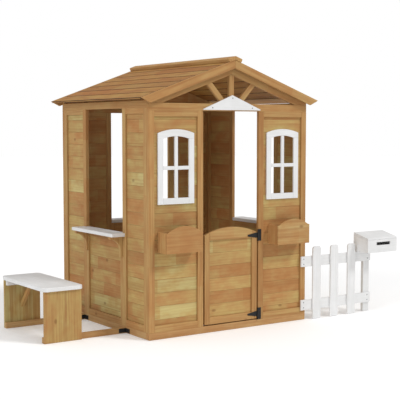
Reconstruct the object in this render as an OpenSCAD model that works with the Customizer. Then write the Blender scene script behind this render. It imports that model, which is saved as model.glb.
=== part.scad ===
// Garden playhouse in stained timber: four framed walls, gabled roof, half door on T-hinges,
// side bench, serving shelves, flower boxes, picket fence and mailbox. Millimetres, +Z up.
// +X runs along the front from the bench to the fence, and the front faces -Y.

/* [House] */
// Width of the walls, outside to outside
body_w = 980; // [800:1:1300]
// Depth of the walls, outside to outside
body_d = 912; // [700:1:1200]
// Height of the ground beams
beam_h = 34; // [20:1:60]
// Thickness of the ground beams
beam_t = 30; // [20:1:60]

/* [Walls] */
// Height of the front and rear panels
panel_h = 1079; // [900:1:1300]
// How much taller the side panels are than the front ones
side_rise = 13; // [0:1:40]
// Thickness of a wall frame
frame_t = 18; // [12:1:30]
// Thickness of the wall boards
board_t = 7; // [5:1:9]
// Depth of the board face behind the frame face
board_recess = 9; // [6:1:12]
// Width of a board, seam to seam
board_pitch = 65; // [40:1:100]
// Height of the first board seam above the ground beam
first_seam = 62; // [20:1:100]
// Width of the upright frame members
stile_w = 32; // [20:1:50]
// Height of the top frame member
top_rail_h = 28; // [20:1:50]
// Height of the bottom frame member
bottom_rail_h = 34; // [20:1:60]
// Width of the uprights of the low panels
low_stile_w = 24; // [16:1:40]
// Height of the beam over each side wall
header_h = 35; // [25:1:50]
// Width of the front panel of a side wall
side_front_w = 236; // [150:1:300]
// Width of the serving opening in a side wall
side_open_w = 386; // [250:1:450]
// Width of the serving opening in the rear wall
back_open_w = 388; // [250:1:500]

/* [Shelves] */
// Height of the shelf underside above the ground
shelf_z = 487; // [350:1:650]
// Thickness of a shelf
shelf_t = 18; // [12:1:30]
// How far a shelf stands out from the wall
shelf_out = 75; // [50:1:120]
// How far a shelf runs past each side of its opening
shelf_past = 25; // [0:1:60]
// Thickness of a corbel
corbel_t = 20; // [12:1:30]
// Height of a corbel
corbel_h = 106; // [60:1:160]
// Gap between the corbel's tip and the shelf's outer edge
corbel_back = 3; // [0:1:20]
// Height of the corbel's front face
corbel_tip_h = 14; // [8:1:30]
// Depth of the corbel at its foot
corbel_foot = 11; // [8:1:30]

/* [Roof] */
// Slope of the roof
roof_pitch = 19.7; // [12:0.1:30]
// Height of the gable chords
chord_h = 37; // [25:1:60]
// Height of the rafter at the wall corner
heel_h = 32.5; // [20:0.5:50]
// Depth of a rafter, measured square to the slope
rafter_h = 57; // [40:1:80]
// Width of the king post
king_w = 29; // [12:1:40]
// Width of a gable strut
strut_w = 28; // [12:1:40]
// Slope of a gable strut
strut_angle = 47; // [35:1:60]
// Distance from the house centre to the foot of a strut
strut_foot = 24; // [21:1:80]
// Number of boards on each slope
roof_boards = 7; // [5:1:10]
// Thickness of the roof boards
roof_t = 10; // [7:1:15]
// How far the roof runs past the side walls
eave_out = 55.6; // [30:0.1:90]
// How far the roof runs past the front and rear walls
verge_out = 31.5; // [20:0.5:60]
// Thickness of the bargeboards
barge_t = 12; // [8:1:20]
// Height of the bargeboards
barge_h = 42; // [30:1:60]
// How far the cut at the bargeboard's end leans in
barge_cut = 50; // [20:1:80]
// Thickness of the ridge boards
ridge_t = 18; // [10:1:25]
// Width of a ridge board down the slope
ridge_w = 38; // [25:1:60]
// How far the ridge boards run past the bargeboards
ridge_past = 5; // [0:1:15]

/* [Windows] */
// Width of a window
window_w = 210; // [150:1:240]
// Height of the window's lower edge above the ground
window_z = 658; // [580:1:720]
// Height of the window at its sides
window_h = 346; // [250:1:370]
// Extra height of the arched top in the middle
window_arch = 19; // [5:1:40]
// Height of the window's head in the middle
window_head = 34; // [30:1:60]
// Extra height of the arched panes beside the middle bar
pane_arch = 12; // [2:1:20]
// Width of the window's outer members
window_member = 30; // [20:1:40]
// Width of the glazing bars
window_bar = 18; // [12:1:30]
// Height of the cross bar's middle above the window's lower edge
window_bar_up = 177; // [120:1:220]

/* [Flower boxes] */
// Width of a flower box
box_w = 210; // [150:1:230]
// Distance from the house corner to the left flower box
left_box_corner = 53; // [34:1:80]
// Distance from the house corner to the right flower box
right_box_corner = 38; // [34:1:80]
// How far a flower box stands out from the wall frame
box_out = 78; // [60:1:120]
// Height of the flower box floor above the ground
box_z = 425; // [300:1:450]
// Height of the flower box sides
box_h = 100; // [60:1:130]
// Extra height of the arched front
box_arch = 31; // [5:1:45]
// Width of the square shoulders beside the arch
box_shoulder = 9; // [2:1:20]
// Thickness of the flower box boards
box_t = 9; // [6:1:15]

/* [Door] */
// Width of the doorway
door_open_w = 347; // [300:1:400]
// Gap at each side of the door
door_gap = 10; // [5:0.5:12]
// Gap under the door
door_lift = 6; // [3:1:15]
// Height of the door at its sides
door_h = 452; // [350:1:600]
// Extra height of the arched top in the middle
door_arch = 35; // [10:1:60]
// Thickness of the door
door_t = 18; // [12:1:18]
// Width of the door uprights
door_stile = 30; // [20:1:45]
// Height of the door's bottom rail
door_bottom = 36; // [25:1:60]
// Height of the door's top rail at its ends
door_top = 26; // [18:1:50]
// Number of boards across the door
door_boards_n = 6; // [4:1:9]
// Opening angle of the door as drawn
door_open = 0; // [0:1:110]

/* [Hinges] */
// Height of the lower hinge above the door's lower edge
hinge_low = 25.5; // [18:0.5:60]
// Distance of the upper hinge below the door's side height
hinge_high = 16; // [14:0.5:60]
// Thickness of the hinge plates
hinge_t = 2; // [1.5:0.1:3]
// Radius of the hinge pin
pin_r = 2; // [1.5:0.1:3]
// Radial clearance of the pin in its knuckles
pin_clear = 0.05; // [0.05:0.01:0.2]
// Wall of the knuckles around the pin
knuckle_wall = 1.95; // [1.2:0.05:3]
// Height of the upright leaf
leaf_h = 60; // [40:1:90]
// Reach of the upright leaf from the pin
leaf_w = 22; // [12:0.5:26]
// Height of the strap at the pin
strap_h = 26; // [16:1:32]
// Height of the strap at its tip
strap_tip_h = 8; // [5:1:16]
// Reach of the strap from the pin
strap_len = 65; // [40:1:120]
// Radius of a screw head
screw_r = 3.5; // [2:0.1:4]
// Height of a screw head
screw_h = 1.2; // [0.6:0.1:2]

/* [Bench] */
// Reach of the bench sides from their inner to their outer edge
bench_side_w = 200; // [150:1:300]
// Height of the bench sides
bench_side_h = 250; // [180:1:350]
// Thickness of the bench sides
bench_side_t = 12; // [9:1:20]
// Depth of the bench over its sides
bench_d = 482; // [350:1:700]
// Distance from the house wall to the outer edge of the bench sides
bench_reach = 453; // [320:1:600]
// Thickness of the seat
seat_t = 20; // [12:1:30]
// How far the seat runs past the sides at each end
seat_past_end = 13; // [0:1:30]
// How far the seat runs past the sides at its long edges
seat_past_edge = 6; // [0:1:20]
// Radius of the seat corners
seat_corner = 25; // [5:1:60]
// Thickness of the ground rails and of the cleats
bench_rail_t = 18; // [12:1:25]
// Height of the ground rails
bench_rail_h = 29; // [20:1:50]
// Height of the cleats under the seat
cleat_h = 28; // [18:1:40]
// Set-back of the cleats from the edges of the bench sides
cleat_inset = 8; // [0:1:50]
// Height of the brace's foot above the ground
brace_foot_z = 132; // [60:1:180]
// Slope of the braces
brace_angle = 49; // [40:1:60]
// Thickness of the braces, square to their length
brace_t = 20; // [10:1:30]
// Length of a bracket leg
bracket_leg = 40; // [25:1:60]
// Height of a bracket
bracket_h = 21; // [15:1:28]
// Thickness of a bracket
bracket_t = 2; // [1:0.5:3]

/* [Fence] */
// Distance from the house corner to the end of the fence
fence_len = 470; // [350:1:700]
// How far the rails reach onto the corner upright of the wall
rail_lap = 34; // [20:1:60]
// Height of a fence rail
rail_h = 56; // [35:1:80]
// Thickness of a fence rail
rail_t = 10; // [8:1:20]
// Height of the lower rail above the ground
rail_low_z = 51; // [20:1:120]
// Height of the upper rail above the ground
rail_high_z = 286; // [200:1:330]
// Number of pickets
pickets = 3; // [2:1:5]
// Width of a picket
picket_w = 57; // [35:1:80]
// Thickness of a picket
picket_t = 9; // [6:1:15]
// Distance from one picket to the next
picket_pitch = 125.5; // [80:0.5:160]
// Distance from the house corner to the first picket
picket_first = 40; // [15:1:80]
// Height of a picket
picket_h = 393; // [300:1:500]
// Radius of the picket's top corners
picket_corner = 16; // [4:1:28]
// Width of the end post
post_w = 45; // [25:1:60]
// Thickness of the end post
post_t = 18; // [12:1:40]

/* [Mailbox] */
// Width of the mailbox
mail_w = 220; // [140:1:260]
// Depth of the mailbox
mail_d = 116; // [80:1:160]
// How far the mailbox reaches back over the end post
mail_over = 11; // [0:1:12]
// Height of the mailbox at its front
mail_front_h = 81; // [60:1:120]
// Extra height of the mailbox at its back
mail_rise = 27; // [0:1:50]
// Thickness of the mailbox boards
mail_t = 9; // [6:1:14]
// Width of the letter slot
slot_w = 104; // [60:1:140]
// Height of the letter slot
slot_h = 17; // [8:1:24]
// Height of the slot's lower edge above the mailbox floor
slot_up = 40; // [20:1:50]
// How far the slot's middle lies outward from the mailbox's middle
slot_shift = 8; // [-30:1:30]

/* [Gable board] */
// Half width of the painted gable board
pediment_half = 176; // [120:1:240]
// Height of the painted gable board above the front panels
pediment_up = 5; // [0:1:20]
// Height of the painted gable board at its ends
pediment_end_h = 5; // [4:1:20]
// Height of the painted gable board in the middle
pediment_h = 75; // [50:1:120]
// Thickness of the painted gable board
pediment_t = 10; // [6:1:18]

/* [Fits] */
// Seam between two boards of one part
seam = 0.6; // [0.3:0.1:2]
// Joint gap between two members of one part
joint = 0.4; // [0.2:0.1:1]
// Gap between the roof boards and the rafters under them or the ridge boards on them
roof_fit = 0.05; // [0.02:0.01:0.3]
// Clearance of the shelf between the uprights of its opening
shelf_fit = 0.4; // [0.1:0.1:2]
// Gap between the knuckles of a hinge
knuckle_gap = 0.5; // [0.3:0.1:1]

/* [Hidden] */

STAIN = "#b98552";
STAIN_DARK = "#a5713f";
WHITE = "#e6e5e2";
BLACK = "#26262a";
STEEL = "#55585c";

half_w = body_w / 2;
half_d = body_d / 2;
panel_top = beam_h + panel_h;
side_top = panel_top + side_rise;
chord_top = panel_top + chord_h;
pediment_z = panel_top + pediment_up;
slope = tan(roof_pitch);
under_peak = chord_top + heel_h + slope * half_w;
rafter_peak = under_peak - roof_fit / cos(roof_pitch);
peak = under_peak + roof_t / cos(roof_pitch);
eave_x = half_w + eave_out;
verge_y = half_d + verge_out;
rafter_drop = rafter_h / cos(roof_pitch);
seam0 = beam_h + first_seam - board_pitch;
// Narrowest strip of board that is fitted, in a wall and under the ridge
least_board = 3;
least_gable = 8;
// Flat left at the foot of a rafter
rafter_foot = 5;

door_half = door_open_w / 2;
door_w = door_open_w - 2 * door_gap;
door_z = beam_h + door_lift;
door_side_z = door_z + door_h;
door_rail_z = door_side_z - door_top;
hinge_x = door_half - door_gap / 2;
knuckle_r = pin_r + pin_clear + knuckle_wall;
hinge_y = -half_d - knuckle_r;
hinge_zs = [door_z + hinge_low, door_side_z - hinge_high];

side_y0 = -half_d + frame_t;
open_y0 = -half_d + side_front_w + frame_t;
open_y1 = open_y0 + side_open_w;
back_half = back_open_w / 2;
panel_mid = (half_w + door_half) / 2;

bench_x0 = -half_w - bench_reach;
bench_x1 = bench_x0 + bench_side_w;
bench_mid = (bench_x0 + bench_x1) / 2;
bench_in = bench_d / 2 - bench_side_t;
fence_x1 = half_w + fence_len;
mail_x = fence_x1;
mail_y1 = -half_d + mail_over;
mail_z = rail_high_z + rail_h;

x_min = bench_x0 - seat_past_edge;
x_max = mail_x + mail_w / 2;
y_min = mail_y1 - mail_d;
y_max = half_d + shelf_out;
house_x = -(x_min + x_max) / 2;
house_y = -(y_min + y_max) / 2;

// Radius of an arc over a half chord with a given rise.
function arc_r(half, rise) = (half * half + rise * rise) / (2 * rise);
// Height of the underside of a rafter at a distance from the centre line.
function rafter_z(x) = under_peak - rafter_drop - slope * abs(x);
// Point on the right roof slope: s down the slope, n square to it.
function on_slope(s, n) = [s * cos(roof_pitch) + n * sin(roof_pitch),
                           peak - s * sin(roof_pitch) + n * cos(roof_pitch)];

// Box between two corners.
module bar(lo, hi) {
    translate(lo) cube(hi - lo);
}

// Outline drawn in X and Z, spanning y0 to y1.
module upright(y0, y1, points) {
    translate([0, y1, 0]) rotate([90, 0, 0]) linear_extrude(y1 - y0) polygon(points);
}

// Wall coordinates: x along the wall, y inward from the outer face.
module at_front() { translate([0, -half_d, 0]) children(); }
module at_back() { mirror([0, 1, 0]) at_front() children(); }
// On the left wall x runs toward +Y, as the house's own Y does.
module at_left() {
    translate([-half_w, 0, 0]) mirror([1, -1, 0]) children();
}
module at_right() { mirror([1, 0, 0]) at_left() children(); }
module both_sides() { children(); mirror([1, 0, 0]) children(); }
module both_ends() { children(); mirror([0, 1, 0]) children(); }

// Keeps what lies under an arched top that rises from side_z over a width.
module under_arch(mid, width, side_z, rise, y0, y1) {
    r = arc_r(width / 2, rise);
    intersection() {
        children();
        translate([mid, y0 - 1, side_z + rise - r]) rotate([-90, 0, 0])
            cylinder(h = y1 - y0 + 2, r = r, $fn = 360);
    }
}

// Two uprights and two rails.
module wall_frame(x0, x1, z0, z1, stile) {
    for (x = [x0, x1 - stile]) bar([x, 0, z0], [x + stile, frame_t, z1]);
    for (z = [[z0, z0 + bottom_rail_h], [z1 - top_rail_h, z1]])
        bar([x0 + stile + joint, 0, z[0]], [x1 - stile - joint, frame_t, z[1]]);
}

// Horizontal boards between the uprights and rails of a frame.
module wall_boards(x0, x1, z0, z1, stile) {
    lo = z0 + bottom_rail_h;
    hi = z1 - top_rail_h;
    for (k = [0 : ceil((hi - seam0) / board_pitch)]) {
        b0 = max(lo, seam0 + k * board_pitch);
        b1 = min(hi, seam0 + (k + 1) * board_pitch - seam);
        if (b1 - b0 > least_board)
            bar([x0 + stile, board_recess, b0], [x1 - stile, board_recess + board_t, b1]);
    }
}

// The hole behind a window ends on a board seam where one is hidden by the window frame.
pane_z1 = window_z + window_h + window_arch - window_head - pane_arch;
seam_low = seam0 + board_pitch * ceil((window_z + 4 - seam0) / board_pitch);
hole_z0 = seam_low <= window_z + window_member ? seam_low : window_z + window_member;
hole_top = pane_z1 + pane_arch + 1;
seam_high = seam0 + board_pitch * ceil((hole_top - seam0) / board_pitch);
hole_z1 = seam_high <= window_z + window_h + window_arch / 3 ? seam_high : hole_top;
hole_half = window_w / 2 - window_member + 2;

module front_frame() {
    at_front() wall_frame(-half_w, -door_half, beam_h, panel_top, stile_w);
}

module front_boards() {
    difference() {
        at_front() wall_boards(-half_w, -door_half, beam_h, panel_top, stile_w);
        bar([-panel_mid - hole_half, -half_d, hole_z0],
            [-panel_mid + hole_half, -half_d + 2 * frame_t, hole_z1]);
    }
}

module back_panel(boards) {
    at_back() {
        if (boards) wall_boards(-half_w, -back_half, beam_h, panel_top, stile_w);
        else wall_frame(-half_w, -back_half, beam_h, panel_top, stile_w);
    }
}

module side_panel(y0, y1, top, stile, boards) {
    at_left() {
        if (boards) wall_boards(y0, y1, beam_h, top, stile);
        else wall_frame(y0, y1, beam_h, top, stile);
    }
}

module side_front(boards) { side_panel(side_y0, open_y0, side_top, stile_w, boards); }
module side_rear(boards) { side_panel(open_y1, -side_y0, side_top, stile_w, boards); }
module side_lower(boards) { side_panel(open_y0, open_y1, shelf_z, low_stile_w, boards); }

module back_lower(boards) {
    at_back() {
        if (boards) wall_boards(-back_half, back_half, beam_h, shelf_z, low_stile_w);
        else wall_frame(-back_half, back_half, beam_h, shelf_z, low_stile_w);
    }
}

module front_left_panel_frame() { color(STAIN) front_frame(); }
module front_left_panel_boards() { color(STAIN_DARK) front_boards(); }
module front_right_panel_frame() { color(STAIN) mirror([1, 0, 0]) front_frame(); }
module front_right_panel_boards() { color(STAIN_DARK) mirror([1, 0, 0]) front_boards(); }
module left_front_panel_frame() { color(STAIN) side_front(false); }
module left_front_panel_boards() { color(STAIN_DARK) side_front(true); }
module left_rear_panel_frame() { color(STAIN) side_rear(false); }
module left_rear_panel_boards() { color(STAIN_DARK) side_rear(true); }
module left_lower_panel_frame() { color(STAIN) side_lower(false); }
module left_lower_panel_boards() { color(STAIN_DARK) side_lower(true); }
module right_front_panel_frame() { color(STAIN) mirror([1, 0, 0]) side_front(false); }
module right_front_panel_boards() { color(STAIN_DARK) mirror([1, 0, 0]) side_front(true); }
module right_rear_panel_frame() { color(STAIN) mirror([1, 0, 0]) side_rear(false); }
module right_rear_panel_boards() { color(STAIN_DARK) mirror([1, 0, 0]) side_rear(true); }
module right_lower_panel_frame() { color(STAIN) mirror([1, 0, 0]) side_lower(false); }
module right_lower_panel_boards() { color(STAIN_DARK) mirror([1, 0, 0]) side_lower(true); }
module back_left_panel_frame() { color(STAIN) back_panel(false); }
module back_left_panel_boards() { color(STAIN_DARK) back_panel(true); }
module back_right_panel_frame() { color(STAIN) mirror([1, 0, 0]) back_panel(false); }
module back_right_panel_boards() { color(STAIN_DARK) mirror([1, 0, 0]) back_panel(true); }
module back_lower_panel_frame() { color(STAIN) back_lower(false); }
module back_lower_panel_boards() { color(STAIN_DARK) back_lower(true); }

// Front and rear beams run the full width; the side beams fit between them.
module base_beams() {
    color(STAIN_DARK) {
        both_ends() bar([-half_w, -half_d, 0], [half_w, -half_d + beam_t, beam_h]);
        both_sides() bar([-half_w, -half_d + beam_t + joint, 0],
                         [-half_w + beam_t, half_d - beam_t - joint, beam_h]);
    }
}

module side_wall_headers() {
    color(STAIN) both_sides()
        bar([-half_w, side_y0, side_top], [-half_w + frame_t, -side_y0, side_top + header_h]);
}

// Outer members and glazing bars, let into the frame's depth and lying on the boards.
module window() {
    x0 = -window_w / 2;
    x1 = window_w / 2;
    z1 = window_z + window_h;
    in_x = x1 - window_member;
    in_z0 = window_z + window_member;
    bar_z = window_z + window_bar_up;
    half_bar = window_bar / 2;
    pane_r = arc_r(in_x, pane_arch);
    translate([-panel_mid, -half_d, 0])
        under_arch(0, window_w, z1, window_arch, 0, board_recess) {
            both_sides() bar([x0, 0, window_z], [-in_x, board_recess, pane_z1 - joint]);
            bar([-in_x + joint, 0, window_z], [in_x - joint, board_recess, in_z0]);
            difference() {
                bar([x0, 0, pane_z1], [x1, board_recess, z1 + window_arch]);
                translate([0, -1, pane_z1 + pane_arch - pane_r]) rotate([-90, 0, 0])
                    cylinder(h = board_recess + 2, r = pane_r, $fn = 360);
            }
            bar([-half_bar, 0, in_z0 + joint],
                [half_bar, board_recess, pane_z1 + pane_arch - 2 * joint]);
            both_sides() bar([-in_x + joint, 0, bar_z - half_bar],
                             [-half_bar - joint, board_recess, bar_z + half_bar]);
        }
}

module left_window() { color(WHITE) window(); }
module right_window() { color(WHITE) mirror([1, 0, 0]) window(); }

// Open box of five boards, its back lying on the wall boards.
module flower_box(corner) {
    x0 = -half_w + corner;
    x1 = x0 + box_w;
    y0 = -half_d - box_out;
    y1 = -half_d + board_recess;
    z1 = box_z + box_h;
    mid = (x0 + x1) / 2;
    arch_w = box_w - 2 * box_shoulder;
    bar([x0, y1 - box_t, box_z], [x1, y1, z1]);
    for (x = [x0, x1 - box_t])
        bar([x, y0 + box_t + joint, box_z], [x + box_t, y1 - box_t - joint, z1]);
    bar([x0 + box_t + joint, y0 + box_t + joint, box_z],
        [x1 - box_t - joint, y1 - box_t - joint, box_z + box_t]);
    bar([x0, y0, box_z], [x1, y0 + box_t, z1]);
    under_arch(mid, arch_w, z1, box_arch, y0, y0 + box_t)
        bar([mid - arch_w / 2, y0, z1], [mid + arch_w / 2, y0 + box_t, z1 + box_arch]);
}

module left_flower_box() { color(STAIN) flower_box(left_box_corner); }
module right_flower_box() { color(STAIN) mirror([1, 0, 0]) flower_box(right_box_corner); }

// Ledge outside the wall, with a narrower tongue through the opening.
module shelf(x0, x1) {
    bar([x0 - shelf_past, -shelf_out, shelf_z], [x1 + shelf_past, 0, shelf_z + shelf_t]);
    bar([x0 + shelf_fit, -1, shelf_z], [x1 - shelf_fit, frame_t, shelf_z + shelf_t]);
}

module left_shelf() { color(WHITE) at_left() shelf(open_y0, open_y1); }
module right_shelf() { color(WHITE) at_right() shelf(open_y0, open_y1); }
module back_shelf() { color(WHITE) at_back() shelf(-back_half, back_half); }

// Bracket with a hollow quarter-round front, under a shelf.
module corbel(x) {
    depth = shelf_out - corbel_back;
    r = min(depth - corbel_foot, corbel_h - corbel_tip_h);
    difference() {
        bar([x, -depth, shelf_z - corbel_h], [x + corbel_t, 0, shelf_z]);
        translate([x - 1, -depth, shelf_z - corbel_h]) {
            bar([0, -1, -1], [corbel_t + 2, r, corbel_h - corbel_tip_h - r]);
            translate([0, 0, corbel_h - corbel_tip_h - r]) rotate([0, 90, 0])
                cylinder(h = corbel_t + 2, r = r, $fn = 360);
        }
    }
}

module corbel_pair(x0, x1) {
    corbel(x0);
    corbel(x1 - corbel_t);
}

module shelf_corbels() {
    color(STAIN) {
        at_left() corbel_pair(open_y0, open_y1);
        at_right() corbel_pair(open_y0, open_y1);
        at_back() corbel_pair(-back_half, back_half);
    }
}

// Chord, two rafters, king post and two struts.
module truss() {
    g = joint / 2;
    foot = chord_top + joint;
    run = (rafter_z(0) - foot) / slope;
    t = tan(strut_angle);
    strut_base = strut_w / sin(strut_angle);
    function strut_x(x) = (rafter_z(0) - joint - foot + t * x) / (t + slope);
    a = strut_foot;
    b = strut_foot + strut_base;
    bar([-half_w, -half_d, panel_top], [half_w, -half_d + frame_t, chord_top]);
    upright(-half_d, -half_d + frame_t,
            [[-king_w / 2, foot], [king_w / 2, foot],
             [king_w / 2, rafter_z(king_w / 2) - joint], [0, rafter_z(0) - joint],
             [-king_w / 2, rafter_z(king_w / 2) - joint]]);
    both_sides() {
        upright(-half_d, -half_d + frame_t,
                [[g, rafter_z(g)], [min(run, half_w - rafter_foot), foot], [half_w, foot],
                 [half_w, rafter_peak - slope * half_w], [g, rafter_peak - slope * g]]);
        upright(-half_d, -half_d + frame_t,
                [[a, foot], [b, foot], [strut_x(b), rafter_z(strut_x(b)) - joint],
                 [strut_x(a), rafter_z(strut_x(a)) - joint]]);
    }
}

module front_truss() { color(STAIN) truss(); }
module back_truss() { color(STAIN) mirror([0, 1, 0]) truss(); }

// Horizontal boards that close the rear gable from inside the truss.
module back_gable_boards() {
    edge = half_w - frame_t - 1;
    y0 = half_d - frame_t - board_t;
    top = under_peak - 1;
    rows = ceil((top - panel_top) / board_pitch);
    color(STAIN_DARK) for (k = [0 : rows - 1]) {
        z0 = panel_top + k * board_pitch;
        z1 = min(z0 + board_pitch - seam, top - least_gable);
        w0 = min(edge, (top - z0) / slope);
        w1 = min(edge, (top - z1) / slope);
        zk = top - slope * edge;
        kink = zk > z0 + 0.5 && zk < z1 - 0.5;
        if (z1 - z0 > least_gable)
            upright(y0, y0 + board_t, kink
                ? [[-w0, z0], [w0, z0], [w0, zk], [w1, z1], [-w1, z1], [-w0, zk]]
                : [[-w0, z0], [w0, z0], [w1, z1], [-w1, z1]]);
    }
}

module pediment() {
    z0 = pediment_z;
    color(WHITE) upright(-half_d - pediment_t, -half_d,
        [[-pediment_half, z0], [pediment_half, z0], [pediment_half, z0 + pediment_end_h],
         [0, z0 + pediment_h], [-pediment_half, z0 + pediment_end_h]]);
}

// Boards along the roof; the first is cut plumb at the ridge.
module roof_slope() {
    len = eave_x / cos(roof_pitch);
    step = len / roof_boards;
    y = verge_y - barge_t;
    g = joint / 2;
    for (k = [0 : roof_boards - 1]) {
        s0 = k * step;
        s1 = (k + 1) * step - (k < roof_boards - 1 ? seam : 0);
        upright(-y, y, k == 0
            ? [[g, peak - g * slope], on_slope(s1, 0), on_slope(s1, -roof_t),
               [g, under_peak - g * slope]]
            : [on_slope(s0, 0), on_slope(s1, 0), on_slope(s1, -roof_t), on_slope(s0, -roof_t)]);
    }
}

module right_roof_boards() { color(STAIN) roof_slope(); }
module left_roof_boards() { color(STAIN) mirror([1, 0, 0]) roof_slope(); }

module ridge_boards() {
    y = verge_y + ridge_past;
    g = joint / 2;
    low = peak + roof_fit / cos(roof_pitch) - g * slope;
    high = low + ridge_t / cos(roof_pitch);
    color(STAIN) both_sides() upright(-y, y,
        [[g, low], on_slope(ridge_w, roof_fit), on_slope(ridge_w, roof_fit + ridge_t), [g, high]]);
}

module barge_pair() {
    end_x = eave_x - barge_cut;
    g = joint / 2;
    both_sides() upright(-verge_y, -verge_y + barge_t,
        [[g, peak - g * slope], [eave_x, peak - eave_x * slope],
         [end_x, peak - end_x * slope - barge_h], [g, peak - g * slope - barge_h]]);
}

module front_bargeboards() { color(STAIN) barge_pair(); }
module back_bargeboards() { color(STAIN) mirror([0, 1, 0]) barge_pair(); }

// Turns what hangs on the hinges to the drawn opening angle.
module swing() {
    translate([hinge_x, hinge_y, 0]) rotate([0, 0, door_open])
        translate([-hinge_x, -hinge_y, 0]) children();
}

module door_frame() {
    x = door_w / 2;
    in_x = x - door_stile;
    y0 = -half_d;
    y1 = y0 + door_t;
    color(STAIN) swing() {
        under_arch(0, door_w, door_side_z, door_arch, y0, y1) {
            both_sides() bar([-x, y0, door_z], [-in_x, y1, door_side_z + door_arch]);
            bar([-in_x + joint, y0, door_z], [in_x - joint, y1, door_z + door_bottom]);
            bar([-in_x + joint, y0, door_rail_z], [in_x - joint, y1, door_side_z + door_arch]);
        }
    }
}

module door_boards() {
    x = door_w / 2 - door_stile;
    y0 = -half_d + board_recess;
    lo = door_z + door_bottom;
    step = (door_rail_z - lo) / door_boards_n;
    color(STAIN_DARK) swing() for (k = [0 : door_boards_n - 1])
        bar([-x, y0, lo + k * step],
            [x, y0 + board_t, lo + (k + 1) * step - (k < door_boards_n - 1 ? seam : 0)]);
}

module hinge_bore(z) {
    translate([hinge_x, hinge_y, z - leaf_h]) cylinder(h = 2 * leaf_h, r = pin_r + pin_clear, $fn = 64);
}

module knuckle(z0, z1) {
    translate([hinge_x, hinge_y, z0]) cylinder(h = z1 - z0, r = knuckle_r, $fn = 64);
}

// Upright leaf on the door post, with the two outer knuckles.
module hinge_leaves() {
    half = leaf_h / 2;
    mid = strap_h / 2 + knuckle_gap;
    color(BLACK) for (z = hinge_zs) difference() {
        union() {
            bar([hinge_x, -half_d - hinge_t, z - half], [hinge_x + leaf_w, -half_d, z + half]);
            knuckle(z - half, z - mid);
            knuckle(z + mid, z + half);
        }
        bar([hinge_x - 1, -half_d - 2 * hinge_t, z - mid],
            [hinge_x + knuckle_r + knuckle_gap, -half_d + 1, z + mid]);
        hinge_bore(z);
    }
}

// Tapered strap on the door, with the middle knuckle.
module hinge_straps() {
    half = strap_h / 2;
    tip = strap_tip_h / 2;
    color(BLACK) swing() for (z = hinge_zs) difference() {
        union() {
            upright(-half_d - hinge_t, -half_d,
                [[hinge_x, z - half], [hinge_x, z + half], [hinge_x - strap_h / 2, z + half],
                 [hinge_x - strap_len, z + tip], [hinge_x - strap_len, z - tip],
                 [hinge_x - strap_h / 2, z - half]]);
            knuckle(z - half, z + half);
        }
        hinge_bore(z);
    }
}

module hinge_pins() {
    color(BLACK) for (z = hinge_zs)
        translate([hinge_x, hinge_y, z - leaf_h / 2]) cylinder(h = leaf_h, r = pin_r, $fn = 64);
}

// Domed screw head facing the front.
module screw_head(x, y, z) {
    translate([x, y, z]) rotate([90, 0, 0])
        cylinder(h = screw_h, r1 = screw_r, r2 = screw_r * 0.6, $fn = 32);
}

module leaf_screws() {
    color(BLACK) for (z = hinge_zs, dz = [-1, 1])
        screw_head(hinge_x + leaf_w * 0.65, -half_d - hinge_t, z + dz * leaf_h * 0.36);
}

module strap_screws() {
    color(BLACK) swing() for (z = hinge_zs, x = [strap_h * 0.6, strap_len * 0.55, strap_len - 8])
        screw_head(hinge_x - x, -half_d - hinge_t, z);
}

// Screw heads of the fence rails and of the painted gable board.
module rail_screws() {
    rail_y = -half_d - rail_t;
    pediment_y = -half_d - pediment_t;
    color(STEEL) {
        for (x = [half_w - rail_lap / 2, fence_x1 - post_w / 2], z = [rail_low_z, rail_high_z],
             dz = [rail_h * 0.25, rail_h * 0.75])
            screw_head(x, rail_y, z + dz);
        screw_head(0, pediment_y, pediment_z + pediment_h * 0.8);
        for (x = [-1, 1])
            screw_head(x * pediment_half * 0.7, pediment_y, pediment_z + pediment_h * 0.15);
    }
}

module bench_seat() {
    x0 = bench_x0 - seat_past_edge;
    x1 = bench_x1 + seat_past_edge;
    y = bench_d / 2 + seat_past_end;
    r = seat_corner;
    color(WHITE) translate([0, 0, bench_side_h]) linear_extrude(seat_t) union() {
        translate([x0 + r, -y]) square([x1 - x0 - 2 * r, 2 * y]);
        translate([x0, -y + r]) square([x1 - x0, 2 * y - 2 * r]);
        for (x = [x0 + r, x1 - r], s = [-1, 1]) translate([x, s * (y - r)]) circle(r, $fn = 96);
    }
}

module bench_sides() {
    color(STAIN) both_ends()
        bar([bench_x0, -bench_d / 2, 0], [bench_x1, -bench_in, bench_side_h]);
}

module bench_cleats() {
    color(WHITE) both_ends()
        bar([bench_x0 + cleat_inset, -bench_in, bench_side_h - cleat_h],
            [bench_x1 - cleat_inset, -bench_in + bench_rail_t, bench_side_h]);
}

module bench_rails() {
    color(STAIN_DARK) both_ends()
        bar([bench_x0, -bench_in, 0], [-half_w, -bench_in + bench_rail_t, bench_rail_h]);
}

// Slanting strut from the inside of each bench side to the seat.
module bench_braces() {
    t = tan(brace_angle);
    drop = brace_t / cos(brace_angle);
    top = bench_side_h;
    reach_hi = (top - brace_foot_z) / t;
    reach_lo = (top - brace_foot_z + drop) / t;
    color(STAIN) both_ends() translate([bench_mid - bench_rail_t / 2, 0, 0])
        rotate([90, 0, 90]) linear_extrude(bench_rail_t) polygon([
            [-bench_in, brace_foot_z], [-bench_in, brace_foot_z - drop],
            [-bench_in + reach_lo, top], [-bench_in + reach_hi, top]]);
}

// Angle plates that join the ground rails to the ground beam.
module beam_brackets() {
    z0 = (bench_rail_h - bracket_h) / 2;
    color(BLACK) for (y = [-bench_in, bench_in - bench_rail_t]) {
        bar([-half_w - bracket_leg, y - bracket_t, z0], [-half_w, y, z0 + bracket_h]);
        bar([-half_w - bracket_t, y - bracket_leg, z0], [-half_w, y, z0 + bracket_h]);
    }
}

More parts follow.
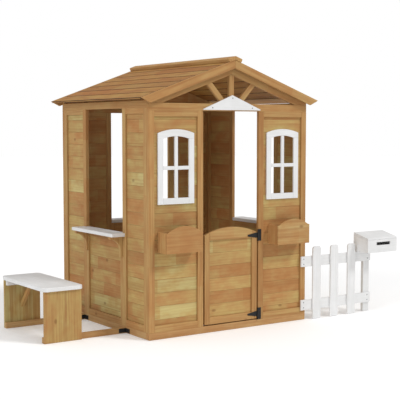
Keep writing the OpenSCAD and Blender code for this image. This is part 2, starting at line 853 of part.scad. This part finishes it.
module fence_rails() {
    color(WHITE) for (z = [rail_low_z, rail_high_z])
        bar([half_w - rail_lap, -half_d - rail_t, z], [fence_x1, -half_d, z + rail_h]);
}

module fence_pickets() {
    r = picket_corner;
    y1 = -half_d - rail_t;
    color(WHITE) for (k = [0 : pickets - 1])
        translate([half_w + picket_first + k * picket_pitch, y1, 0])
            rotate([90, 0, 0]) linear_extrude(picket_t) union() {
                square([picket_w, picket_h - r]);
                translate([r, 0]) square([picket_w - 2 * r, picket_h]);
                for (x = [r, picket_w - r]) translate([x, picket_h - r]) circle(r, $fn = 96);
            }
}

// The end post stands behind the rails and carries the mailbox on its top.
module fence_post() {
    color(WHITE) bar([fence_x1 - post_w, -half_d, 0], [fence_x1, -half_d + post_t, mail_z]);
}

// Outline of the mailbox in Y and Z, from the floor to the sloping top.
function mail_top(y) = mail_z + mail_front_h + mail_rise * (y - mail_y1 + mail_d) / mail_d;

module mail_side(x) {
    y0 = mail_y1 - mail_d + mail_t + joint;
    y1 = mail_y1 - mail_t - joint;
    translate([x, 0, 0]) rotate([90, 0, 90]) linear_extrude(mail_t) polygon([
        [y0, mail_z], [y1, mail_z], [y1, mail_top(y1) - mail_t], [y0, mail_top(y0) - mail_t]]);
}

module mailbox_box() {
    x0 = mail_x - mail_w / 2;
    x1 = mail_x + mail_w / 2;
    y0 = mail_y1 - mail_d;
    slot_x = mail_x + slot_shift;
    color(WHITE) {
        difference() {
            bar([x0, y0, mail_z], [x1, y0 + mail_t, mail_top(y0) - mail_t]);
            bar([slot_x - slot_w / 2, y0 - 1, mail_z + slot_up],
                [slot_x + slot_w / 2, y0 + mail_t + 1, mail_z + slot_up + slot_h]);
        }
        bar([x0, mail_y1 - mail_t, mail_z], [x1, mail_y1, mail_top(mail_y1 - mail_t) - mail_t]);
        mail_side(x0);
        mail_side(x1 - mail_t);
        bar([x0 + mail_t + joint, y0 + mail_t + joint, mail_z],
            [x1 - mail_t - joint, mail_y1 - mail_t - joint, mail_z + mail_t]);
    }
}

module mailbox_lid() {
    y0 = mail_y1 - mail_d;
    color(WHITE) translate([mail_x - mail_w / 2, 0, 0]) rotate([90, 0, 90])
        linear_extrude(mail_w) polygon([
            [y0, mail_top(y0) - mail_t], [mail_y1, mail_top(mail_y1) - mail_t],
            [mail_y1, mail_top(mail_y1)], [y0, mail_top(y0)]]);
}

// The whole house stands on the ground with its overall footprint centred on the origin.
translate([house_x, house_y, 0]) {
    base_beams();
    side_wall_headers();
    front_left_panel_frame();
    front_left_panel_boards();
    front_right_panel_frame();
    front_right_panel_boards();
    left_front_panel_frame();
    left_front_panel_boards();
    left_rear_panel_frame();
    left_rear_panel_boards();
    left_lower_panel_frame();
    left_lower_panel_boards();
    right_front_panel_frame();
    right_front_panel_boards();
    right_rear_panel_frame();
    right_rear_panel_boards();
    right_lower_panel_frame();
    right_lower_panel_boards();
    back_left_panel_frame();
    back_left_panel_boards();
    back_right_panel_frame();
    back_right_panel_boards();
    back_lower_panel_frame();
    back_lower_panel_boards();
    left_window();
    right_window();
    left_flower_box();
    right_flower_box();
    left_shelf();
    right_shelf();
    back_shelf();
    shelf_corbels();
    front_truss();
    back_truss();
    back_gable_boards();
    pediment();
    left_roof_boards();
    right_roof_boards();
    ridge_boards();
    front_bargeboards();
    back_bargeboards();
    door_frame();
    door_boards();
    hinge_leaves();
    hinge_straps();
    hinge_pins();
    leaf_screws();
    strap_screws();
    rail_screws();
    bench_seat();
    bench_sides();
    bench_cleats();
    bench_braces();
    bench_rails();
    beam_brackets();
    fence_rails();
    fence_pickets();
    fence_post();
    mailbox_box();
    mailbox_lid();
}
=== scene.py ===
"""Children's garden playhouse: stained fir, white paint and black T-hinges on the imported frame."""
import math
import random

import bmesh
import bpy
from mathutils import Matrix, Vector


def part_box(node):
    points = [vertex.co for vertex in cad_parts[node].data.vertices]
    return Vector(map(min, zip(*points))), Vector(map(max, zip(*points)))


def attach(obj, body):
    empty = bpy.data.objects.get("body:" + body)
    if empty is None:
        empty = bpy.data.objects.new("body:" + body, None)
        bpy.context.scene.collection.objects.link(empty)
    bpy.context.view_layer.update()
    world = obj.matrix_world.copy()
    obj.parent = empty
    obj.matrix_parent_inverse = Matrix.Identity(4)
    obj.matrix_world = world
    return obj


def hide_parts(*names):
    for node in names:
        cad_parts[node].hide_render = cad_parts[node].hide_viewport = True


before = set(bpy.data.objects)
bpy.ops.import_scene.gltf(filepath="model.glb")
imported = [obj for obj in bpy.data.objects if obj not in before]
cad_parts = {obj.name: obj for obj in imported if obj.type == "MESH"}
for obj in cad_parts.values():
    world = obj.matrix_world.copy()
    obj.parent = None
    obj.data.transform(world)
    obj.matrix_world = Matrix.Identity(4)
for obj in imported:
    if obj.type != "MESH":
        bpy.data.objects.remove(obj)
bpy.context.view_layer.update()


# ---- Ground beams -------------------------------------------------------------------------
# Four planed softwood battens lie on the ground in a rectangle and carry the walls.
# They are sawn, stained honey-brown by dipping, and screwed together at the corners.

MM = 0.001


def linear(hexcode):
    """An sRGB hex colour as Blender's linear RGBA."""
    values = [int(hexcode[i:i + 2], 16) / 255 for i in (1, 3, 5)]
    return [v / 12.92 if v < 0.04045 else ((v + 0.055) / 1.055) ** 2.4 for v in values] + [1.0]


def add(tree, kind, links=None, **settings):
    """Adds a node; links maps its inputs to sockets to link or to plain values."""
    node = tree.nodes.new(kind)
    for name, value in settings.items():
        setattr(node, name, value)
    for name, value in (links or {}).items():
        if isinstance(value, bpy.types.NodeSocket):
            tree.links.new(value, node.inputs[name])
        else:
            node.inputs[name].default_value = value
    return node


def stained_fir(name, palette, streak_mm=(250, 8), contrast=1.0, edge="#bd915b",
                edge_share=0.35, block_mm=(230, 65)):
    """Dip-stained fir, planed and brushed.

    The boards are glued up from finger-jointed blocks, so the colour steps along and across them,
    from the reddest of the palette to the palest, and drifts in soft patches. Sanding has thinned
    the stain along the edges, or it has pooled there, as edge and edge_share say; where edge is
    near black, as on the roof boards, it is painted shade in the gaps between the boards as well
    as a dark joint. streak_mm and block_mm give the length and width of a fibre streak and of a
    block.
    """
    material = bpy.data.materials.new(name)
    material.use_nodes = True
    tree = material.node_tree
    shader = tree.nodes["Principled BSDF"]
    # The grain attribute is metres along, across and through the board, so the pattern follows it.
    grain = add(tree, "ShaderNodeAttribute", attribute_name="grain").outputs["Vector"]
    tone = add(tree, "ShaderNodeSeparateXYZ", {
        0: add(tree, "ShaderNodeAttribute", attribute_name="tone").outputs["Vector"]}).outputs
    place = add(tree, "ShaderNodeSeparateXYZ", {0: grain}).outputs
    strip = add(tree, "ShaderNodeMath", {
        0: place["Y"], 1: 1000 / block_mm[1], 2: 0.5}, operation="MULTIPLY_ADD").outputs[0]
    strip = add(tree, "ShaderNodeMath", {0: strip}, operation="FLOOR").outputs[0]
    along = add(tree, "ShaderNodeMath", {
        0: strip, 1: 3.7, 2: place["X"]}, operation="MULTIPLY_ADD").outputs[0]
    block = add(tree, "ShaderNodeTexVoronoi", {"W": along, "Scale": 1000 / block_mm[0]},
                voronoi_dimensions="1D").outputs["Color"]

    # Real growth rings on these boards are 3 to 6 mm apart, finer than the picture shows, so the
    # rings are drawn 15 mm apart and the fibre streaks 8 mm wide or more.
    layers = {}
    for layer, length_mm, width_mm, detail in (
            ("patches", 90, 55, 2.0), ("streaks", *streak_mm, 3.0),
            ("bands", 2 * streak_mm[0], 3 * streak_mm[1], 2.0)):
        place = add(tree, "ShaderNodeVectorMath", {
            0: grain, 1: (1000 / length_mm, 1000 / width_mm, 1000 / width_mm)},
            operation="MULTIPLY").outputs[0]
        layers[layer] = add(tree, "ShaderNodeTexNoise", {
            "Vector": place, "Scale": 1.0, "Detail": detail, "Roughness": 0.6}).outputs["Fac"]
    place = add(tree, "ShaderNodeVectorMath", {0: grain, 1: (0.16, 1.0, 1.0)},
                operation="MULTIPLY").outputs[0]
    layers["rings"] = add(tree, "ShaderNodeTexWave", {
        "Vector": place, "Scale": 0.314 / 0.015, "Distortion": 7.0, "Detail": 2.0,
        "Detail Scale": 0.9}, bands_direction="Y").outputs["Fac"]

    # Which colour of the palette a spot has: from the board, from the block and from the patch.
    hue = add(tree, "ShaderNodeMath", {0: tone["X"], 1: 0.6}, operation="MULTIPLY").outputs[0]
    drift = add(tree, "ShaderNodeMapRange", {
        "Value": layers["patches"], "From Min": 0.3, "From Max": 0.7,
        "To Min": -0.25, "To Max": 0.25}).outputs[0]
    step = add(tree, "ShaderNodeMath", {
        0: add(tree, "ShaderNodeSeparateColor", {0: block}).outputs[0], 1: 0.45},
        operation="MULTIPLY").outputs[0]
    for share in (drift, step):
        hue = add(tree, "ShaderNodeMath", {0: hue, 1: share}, operation="ADD").outputs[0]
    ramp = add(tree, "ShaderNodeValToRGB", {"Fac": hue})
    for _ in range(len(palette) - 2):
        ramp.color_ramp.elements.new(0.5)
    for i, hexcode in enumerate(palette):
        ramp.color_ramp.elements[i].position = i / (len(palette) - 1)
        ramp.color_ramp.elements[i].color = linear(hexcode)
    colour = ramp.outputs["Color"]

    # Late wood takes more stain than the soft wood between, and knots take the most. A knot is
    # 12 mm across, on every fourth or fifth board.
    knots = add(tree, "ShaderNodeTexVoronoi", {
        "Vector": add(tree, "ShaderNodeVectorMath", {0: grain, 1: (0.6, 1.0, 1.0)},
                      operation="MULTIPLY").outputs[0], "Scale": 5.0}, voronoi_dimensions="2D")
    real = add(tree, "ShaderNodeMath", {
        0: add(tree, "ShaderNodeSeparateColor", {0: knots.outputs["Color"]}).outputs[0],
        1: 0.6}, operation="GREATER_THAN").outputs[0]
    middle = add(tree, "ShaderNodeMapRange", {
        "Value": knots.outputs["Distance"], "From Min": 0.05, "From Max": 0.02}).outputs[0]
    knot = add(tree, "ShaderNodeMath", {0: middle, 1: real}, operation="MULTIPLY").outputs[0]
    # The eased faces take the edge colour: worn lighter on frames, pooled stain on wall boards, and
    # near black on roof boards, where it is painted shade in the gaps as well as a dark joint.
    edge_wear_and_shade = add(tree, "ShaderNodeAttribute", attribute_name="edge").outputs["Fac"]
    for pattern, low, high, most, tint in (
            (layers["streaks"], 0.48, 0.74, 0.3 * contrast, "#96653a"),
            (layers["bands"], 0.5, 0.75, 0.42 * contrast, "#96653a"),
            (layers["rings"], 0.6, 1.0, 0.14 * contrast, "#96653a"),
            (knot, 0.0, 1.0, 0.5, "#6b4020"),
            (edge_wear_and_shade, 0.0, 1.0, edge_share, edge)):
        share = add(tree, "ShaderNodeMapRange", {
            "Value": pattern, "From Min": low, "From Max": high,
            "To Min": 0.0, "To Max": most}).outputs[0]
        colour = add(tree, "ShaderNodeMix", {0: share, 6: colour, 7: linear(tint)},
                     data_type="RGBA").outputs[2]
    depth = add(tree, "ShaderNodeMapRange", {
        "Value": tone["Y"], "To Min": 0.93, "To Max": 1.06}).outputs[0]
    colour = add(tree, "ShaderNodeHueSaturation", {"Color": colour, "Value": depth}).outputs[0]
    tree.links.new(colour, shader.inputs["Base Color"])

    tree.links.new(add(tree, "ShaderNodeMapRange", {
        "Value": layers["streaks"], "From Min": 0.2, "From Max": 0.8,
        "To Min": 0.58, "To Max": 0.74}).outputs[0], shader.inputs["Roughness"])
    height = add(tree, "ShaderNodeMath", {
        0: layers["rings"], 1: 0.4, 2: layers["streaks"]}, operation="MULTIPLY_ADD").outputs[0]
    tree.links.new(add(tree, "ShaderNodeBump", {
        "Height": height, "Strength": 0.3, "Distance": 0.3 * MM}).outputs[0],
        shader.inputs["Normal"])
    shader.inputs["IOR"].default_value = 1.5
    shader.inputs["Specular IOR Level"].default_value = 0.22
    return material


def islands(bm):
    """The separate boards in a mesh, as lists of vertices, from the lowest board up."""
    left, found = set(bm.verts), []
    for start in bm.verts:
        if start not in left:
            continue
        left.discard(start)
        board, edge = [start], [start]
        while edge:
            for link in edge.pop().link_edges:
                for v in link.verts:
                    if v in left:
                        left.discard(v)
                        board.append(v)
                        edge.append(v)
        found.append((sum((v.co for v in board), Vector()) / len(board), board))
    return sorted(found, key=lambda pair: (round(pair[0].z, 4), round(pair[0].x, 4),
                                           round(pair[0].y, 4)))


def board_axes(board, along):
    """Length, width and thickness directions of a board, the length given or its longest edge."""
    edges = {e for v in board for e in v.link_edges}
    runs = sorted(((e.verts[1].co - e.verts[0].co) for e in edges), key=lambda d: -d.length)
    length = Vector(along) if along else runs[0].normalized()
    across = [d for d in runs if abs(d.normalized().dot(length)) < 0.2]
    width = across[0].normalized() if across else length.orthogonal().normalized()
    width = (width - length * width.dot(length)).normalized()
    return length, width, length.cross(width)


def add_tongues(bm, up, reach_mm):
    """Draws a thin tongue out of each board's upper edge, into the board above it."""
    tops = [max((f for v in board for f in v.link_faces), key=lambda f: f.normal.dot(up))
            for _, board in islands(bm)]
    tops = [f for f in tops if f.normal.dot(up) > 0.9]
    bmesh.ops.inset_individual(bm, faces=tops, thickness=2.0 * MM, use_even_offset=True)
    for face in tops:
        for v in face.verts:
            v.co += face.normal * reach_mm * MM


def dress(node, material, edge_mm, body="root", along=None, seam=None, tones=None, draw=1):
    """Stands finished boards in for a CAD node: eased edges, and grain that follows each board.

    seam is the direction in which each board's tongue points, where the boards have one. tones
    places each board, from the lowest up, between the palette's first colour, 0, and its last, 1.
    """
    chance = random.Random(f"{node} {draw}")
    bm = bmesh.new()
    bm.from_mesh(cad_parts[node].data)
    edge_wear_and_shade = bm.faces.layers.float.new("edge")
    grain = bm.verts.layers.float_vector.new("grain")
    tone = bm.verts.layers.float_vector.new("tone")
    bmesh.ops.remove_doubles(bm, verts=bm.verts, dist=0.01 * MM)
    bmesh.ops.dissolve_limit(bm, angle_limit=math.radians(1), verts=bm.verts, edges=bm.edges)
    sharp = [e for e in bm.edges if e.is_manifold and e.calc_face_angle() > math.radians(25)]
    eased = bmesh.ops.bevel(bm, geom=sharp, offset=edge_mm * MM, offset_type="OFFSET",
                            affect="EDGES", segments=2, profile=0.5, material=-1,
                            clamp_overlap=True)
    # Marks the eased faces for the edge colour, which on the roof boards is painted shade.
    for face in eased["faces"]:
        face[edge_wear_and_shade] = 1.0
    if seam:
        add_tongues(bm, Vector(seam), 1.2)
    for i, (middle, board) in enumerate(islands(bm)):
        axes = board_axes(board, along)
        # Sideways the pattern shifts by whole block widths, so that no block is cut lengthwise.
        shift = Vector((chance.uniform(-20, 20), 0.13 * chance.randint(-150, 150),
                        chance.uniform(-1, 1)))
        shade = Vector((chance.random(), chance.random(), chance.random()))
        if tones:
            shade.x = tones[i % len(tones)]
        for v in board:
            v[grain] = Vector([(v.co - middle).dot(a) for a in axes]) + shift
            v[tone] = shade
    mesh = bpy.data.meshes.new(node + "_finished")
    bm.to_mesh(mesh)
    bm.free()
    mesh.shade_smooth()
    mesh.set_sharp_from_angle(angle=math.radians(22))
    mesh.materials.append(material)
    piece = bpy.data.objects.new(node + "_finished", mesh)
    bpy.context.scene.collection.objects.link(piece)
    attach(piece, body)
    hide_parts(node)
    return piece


HONEY = ["#ac7846", "#b18350", "#b4915a", "#b89d62", "#c0b076"]
beam_fir = stained_fir("Stained fir, beams", ["#b28757", "#b99362", "#bd9b6b", "#bfa473"],
                       contrast=1.2)
dress("base_beams", beam_fir, 2.0)


# ---- Wall frames --------------------------------------------------------------------------
# Each wall panel has a frame of two uprights and two rails, planed fir 32 mm wide.
# The members are butted and screwed, with the edges just broken by sandpaper.

frame_fir = stained_fir("Stained fir, frames", ["#ac7d4b", "#b28854", "#b48f5b", "#b69760"],
                        contrast=1.7)
for panel in ("front_left", "front_right", "left_front", "left_rear", "left_lower",
              "right_front", "right_rear", "right_lower",
              "back_left", "back_right", "back_lower"):
    dress(panel + "_panel_frame", frame_fir, 1.2)
dress("side_wall_headers", frame_fir, 1.2)


# ---- Wall boards --------------------------------------------------------------------------
# Thin fir boards, 65 mm wide, are laid flat across each frame and nailed from inside.
# Their colours vary from reddish to straw, and stain has darkened the joint between two boards.

board_fir = stained_fir("Stained fir, wall boards", HONEY, edge="#5b3819", edge_share=0.2)
# How red, 0, or how pale, 1, each board of these panels is, from the lowest board up. A board
# that a window cuts in two counts as two.
BOARD_TONES = {
    "front_left": [0.1, 1.0, 0.35, 0.95, 0.45, 0.6, 0.35, 0.55, 0.3, 0.6, 0.9, 0.5, 0.7, 0.6,
                   0.55, 0.5, 0.8, 0.6, 0.5, 0.7, 0.6, 0.5],
    "front_right": [0.1, 0.35, 0.1, 0.0, 0.2, 0.0, 0.2, 0.25, 0.3, 0.3, 0.35, 0.3, 0.45,
                    0.35, 0.5, 0.55, 0.4, 0.5, 0.45, 0.4, 0.55, 0.45],
    "left_front": [0.35, 0.5, 0.3, 0.55, 0.4, 0.3, 0.85, 0.5, 0.4, 0.15, 0.35, 0.8, 0.5, 0.2,
                   0.45, 0.35, 0.5],
    "left_lower": [0.5, 0.8, 0.35, 0.15, 0.45, 0.3, 0.25],
    "right_rear": [0.15, 0.25, 0.1, 0.2, 0.15, 0.25, 0.1, 0.2, 0.3, 0.1, 0.25, 0.15, 0.2, 0.1,
                   0.3, 0.2, 0.1],
    "back_left": [0.2, 0.1, 0.3, 0.2, 0.35, 0.2, 0.3, 0.15, 0.3, 0.2, 0.35, 0.2, 0.1, 0.3, 0.25,
                  0.15, 0.2],
    "back_right": [0.15, 0.25, 0.1, 0.3, 0.2, 0.1, 0.25, 0.3, 0.2, 0.15, 0.3, 0.1, 0.2, 0.3,
                   0.1, 0.2, 0.15]}
for panel in ("front_left", "front_right", "left_front", "left_rear", "left_lower",
              "right_front", "right_rear", "right_lower",
              "back_left", "back_right", "back_lower"):
    sideways = (1, 0, 0) if panel[0] in "fb" else (0, 1, 0)
    dress(panel + "_panel_boards", board_fir, 0.5, along=sideways, seam=(0, 0, 1),
          tones=BOARD_TONES.get(panel))
dress("back_gable_boards", board_fir, 0.5, along=(1, 0, 0), seam=(0, 0, 1),
      tones=[0.15, 0.05, 0.2, 0.1])


# ---- Serving shelves ----------------------------------------------------------------------
# White-painted boards lie in the side and rear openings, on stained corbels with a hollow front.
# The paint is a brushed satin acrylic over sanded wood, so faint brush lines follow the board.

def painted_wood(name, colour, shade):
    """White satin acrylic on sanded softwood: faint brush lines and a slight unevenness."""
    material = bpy.data.materials.new(name)
    material.use_nodes = True
    tree = material.node_tree
    shader = tree.nodes["Principled BSDF"]
    grain = add(tree, "ShaderNodeAttribute", attribute_name="grain").outputs["Vector"]
    brush = add(tree, "ShaderNodeTexNoise", {
        "Vector": add(tree, "ShaderNodeVectorMath", {0: grain, 1: (6.0, 170.0, 170.0)},
                      operation="MULTIPLY").outputs[0],
        "Scale": 1.0, "Detail": 3.0}).outputs["Fac"]
    cloud = add(tree, "ShaderNodeTexNoise", {"Vector": grain, "Scale": 9.0, "Detail": 2.0})
    both = add(tree, "ShaderNodeMath", {0: brush, 1: cloud.outputs["Fac"]}, operation="MULTIPLY")
    ramp = add(tree, "ShaderNodeValToRGB", {"Fac": both.outputs[0]})
    ramp.color_ramp.elements[0].position = 0.1
    ramp.color_ramp.elements[0].color = linear(shade)
    ramp.color_ramp.elements[1].position = 0.42
    ramp.color_ramp.elements[1].color = linear(colour)
    tree.links.new(ramp.outputs["Color"], shader.inputs["Base Color"])
    tree.links.new(add(tree, "ShaderNodeMapRange", {
        "Value": brush, "To Min": 0.38, "To Max": 0.52}).outputs[0], shader.inputs["Roughness"])
    tree.links.new(add(tree, "ShaderNodeBump", {
        "Height": brush, "Strength": 0.25, "Distance": 0.15 * MM}).outputs[0],
        shader.inputs["Normal"])
    shader.inputs["IOR"].default_value = 1.5
    return material


white = painted_wood("White satin paint", "#e5e5e5", "#d9d9d8")
for shelf in ("left_shelf", "right_shelf", "back_shelf"):
    dress(shelf, white, 2.5)
dress("shelf_corbels", frame_fir, 1.5, along=(0, 0, 1))


# ---- Windows ------------------------------------------------------------------------------
# Unglazed windows with an arched head and crossed glazing bars, let in flush with the frame.
# Same paint as the shelves, with crisp routed edges.

for window in ("left_window", "right_window"):
    dress(window, white, 1.0)


# ---- Flower boxes -------------------------------------------------------------------------
# Open five-board boxes with an arched front, screwed to the wall under each window.

box_fir = stained_fir("Stained fir, flower boxes", ["#ad7a49", "#b28350", "#b58d59", "#b99c68"],
                      contrast=1.3)
# Of each box's five boards, the front is the reddest on the left box and paler on the right one.
for flower_box, tone_front in (("left_flower_box", 0.25), ("right_flower_box", 0.8)):
    dress(flower_box, box_fir, 1.2, tones=[0.6, 0.5, 0.5, tone_front, tone_front])


# ---- Gables -------------------------------------------------------------------------------
# A truss of chord, rafters, king post and two fanned struts stands on the front and rear walls.
# A low white gable board is screwed over the doorway.

for truss in ("front_truss", "back_truss"):
    dress(truss, frame_fir, 1.2)
dress("pediment", white, 1.5, along=(1, 0, 0))


# ---- Roof ---------------------------------------------------------------------------------
# Seven wide boards run along each slope and end behind the bargeboards.
# Two boards cap the ridge. The roof faces the weather, so its grain stands out more.

# The roof boards' eased edges are painted near black, #2e180a, at full share: a dark joint and
# painted shade in the gaps between the boards.
roof_fir_with_edge_shade = stained_fir("Stained fir with painted edge shade, roof boards", ["#a0672f", "#a87638", "#ae8546", "#b59555"],
                       streak_mm=(210, 14), contrast=2.6, edge="#2e180a", edge_share=1.0,
                       block_mm=(400, 130))
for boards, outward in (("left_roof_boards", -1), ("right_roof_boards", 1)):
    dress(boards, roof_fir_with_edge_shade, 3.0, along=(0, 1, 0), seam=(-outward, 0, 0.36),
          tones=[0.35, 0.1, 0.5, 0.2, 0.4, 0.05, 0.3])
dress("ridge_boards", frame_fir, 3.0, along=(0, 1, 0), tones=[0.5])
for boards in ("front_bargeboards", "back_bargeboards"):
    dress(boards, frame_fir, 1.5)


# ---- Half door ----------------------------------------------------------------------------
# An arched half door, framed and boarded like the walls, hangs on the right-hand post.

dress("door_frame", frame_fir, 1.2, body="door")
dress("door_boards", board_fir, 0.5, body="door", along=(1, 0, 0), seam=(0, 0, 1),
      tones=[0.45, 0.1, 0.5, 0.3, 0.5, 0.85])


# ---- Hinges, brackets and screws ----------------------------------------------------------
# Pressed-steel T-hinges and angle plates with a fine-textured black powder coat.
# The screws in the white pieces are bare zinc-plated steel.

def fine_metal(name, colour, metallic, roughness, speck_mm):
    """Coated or plated steel with a fine all-over texture."""
    material = bpy.data.materials.new(name)
    material.use_nodes = True
    tree = material.node_tree
    shader = tree.nodes["Principled BSDF"]
    place = add(tree, "ShaderNodeTexCoord").outputs["Object"]
    specks = add(tree, "ShaderNodeTexNoise", {
        "Vector": place, "Scale": 1000 / speck_mm, "Detail": 2.0}).outputs["Fac"]
    ramp = add(tree, "ShaderNodeValToRGB", {"Fac": specks})
    base = linear(colour)
    ramp.color_ramp.elements[0].color = [0.75 * c for c in base[:3]] + [1.0]
    ramp.color_ramp.elements[1].color = [min(1.0, 1.3 * c) for c in base[:3]] + [1.0]
    tree.links.new(ramp.outputs["Color"], shader.inputs["Base Color"])
    tree.links.new(add(tree, "ShaderNodeMapRange", {
        "Value": specks, "To Min": roughness - 0.08, "To Max": roughness + 0.08}).outputs[0],
        shader.inputs["Roughness"])
    tree.links.new(add(tree, "ShaderNodeBump", {
        "Height": specks, "Strength": 0.3, "Distance": 0.1 * MM}).outputs[0],
        shader.inputs["Normal"])
    shader.inputs["Metallic"].default_value = metallic
    return material


def coat(node, material):
    """Gives a CAD node that keeps its own shape its finish."""
    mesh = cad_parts[node].data
    mesh.materials.clear()
    mesh.materials.append(material)


black_coat = fine_metal("Black powder coat", "#080809", 0.0, 0.62, 1.2)
zinc = fine_metal("Zinc-plated steel", "#8b8d8f", 1.0, 0.42, 0.8)
for node in ("hinge_leaves", "hinge_straps", "hinge_pins", "leaf_screws", "strap_screws",
             "beam_brackets"):
    coat(node, black_coat)
coat("rail_screws", zinc)


# ---- Bench --------------------------------------------------------------------------------
# Two stained boards on edge carry a white seat with rounded corners. Cleats and slanting
# braces stiffen it, and two ground rails tie it to the house.

bench_fir = stained_fir("Stained fir, bench sides", HONEY, contrast=1.6, block_mm=(900, 160))
dress("bench_sides", bench_fir, 1.5, along=(0, 0, 1), tones=[0.4, 0.95])
dress("bench_seat", white, 3.0, along=(0, 1, 0))
dress("bench_cleats", white, 1.5)
dress("bench_braces", bench_fir, 1.5, tones=[0.7])
dress("bench_rails", beam_fir, 1.5)


# ---- Fence --------------------------------------------------------------------------------
# Two rails run from the front corner post to an end post, with three rounded pickets.

for part in ("fence_rails", "fence_pickets", "fence_post"):
    dress(part, white, 1.8)


# ---- Mailbox ------------------------------------------------------------------------------
# A painted box of five boards under a sloping lid, with a letter slot in its front.

dress("mailbox_box", white, 1.5)
dress("mailbox_lid", white, 2.0, along=(1, 0, 0))


# ---- Camera, floor and light --------------------------------------------------------------
# A plain pale studio floor, soft light from the front right and above, and a long lens.

scene = bpy.context.scene
scene.view_settings.view_transform = "Standard"
beams_low, beams_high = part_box("base_beams")
house = (Vector(beams_low) + Vector(beams_high)) / 2
house.z = 0.0
camera = bpy.data.objects.new("camera", bpy.data.cameras.new("camera"))
camera.data.lens, camera.data.sensor_width = 89.87, 36.0
camera.location = house + Vector((-2.974, -4.542, 1.031))
camera.rotation_euler = (math.radians(90 - 4.15), 0.0, math.radians(-34.24))
camera.data.clip_end = 100.0
scene.collection.objects.link(camera)
scene.camera = camera

floor_mesh = bpy.data.meshes.new("floor")
bm = bmesh.new()
bmesh.ops.create_circle(bm, cap_ends=True, segments=64, radius=30.0)
bm.to_mesh(floor_mesh)
bm.free()
floor = bpy.data.objects.new("floor", floor_mesh)
floor.location = house + Vector((0, 0, -1 * MM))
pale = bpy.data.materials.new("Pale studio floor")
pale.use_nodes = True
pale.node_tree.nodes["Principled BSDF"].inputs["Base Color"].default_value = linear("#f7f7f7")
pale.node_tree.nodes["Principled BSDF"].inputs["Roughness"].default_value = 0.9
pale.node_tree.nodes["Principled BSDF"].inputs["Emission Color"].default_value = linear("#ffffff")
pale.node_tree.nodes["Principled BSDF"].inputs["Emission Strength"].default_value = 0.12
floor_mesh.materials.append(pale)
scene.collection.objects.link(floor)


def sunlight(name, toward, strength, spread):
    """Even light over the whole studio, shining from the direction given."""
    lamp = bpy.data.objects.new(name, bpy.data.lights.new(name, "SUN"))
    lamp.data.energy, lamp.data.angle = strength, math.radians(spread)
    lamp.rotation_euler = Vector(toward).to_track_quat("Z", "Y").to_euler()
    scene.collection.objects.link(lamp)


sunlight("key", (0.45, -0.62, 0.75), 1.3, 14)
sunlight("fill", (-0.9, -0.25, 0.5), 0.7, 25)
sunlight("top", (0, 0, 1), 0.3, 30)

world = bpy.data.worlds.new("studio")
scene.world = world
world.use_nodes = True
world.node_tree.nodes.clear()
seen = add(world.node_tree, "ShaderNodeBackground", {"Color": (1, 1, 1, 1), "Strength": 1.0})
lit = add(world.node_tree, "ShaderNodeBackground", {"Color": (1, 1, 1, 1), "Strength": 0.55})
way = add(world.node_tree, "ShaderNodeLightPath").outputs["Is Camera Ray"]
both = add(world.node_tree, "ShaderNodeMixShader", {
    0: way, 1: lit.outputs[0], 2: seen.outputs[0]})
add(world.node_tree, "ShaderNodeOutputWorld", {"Surface": both.outputs[0]})
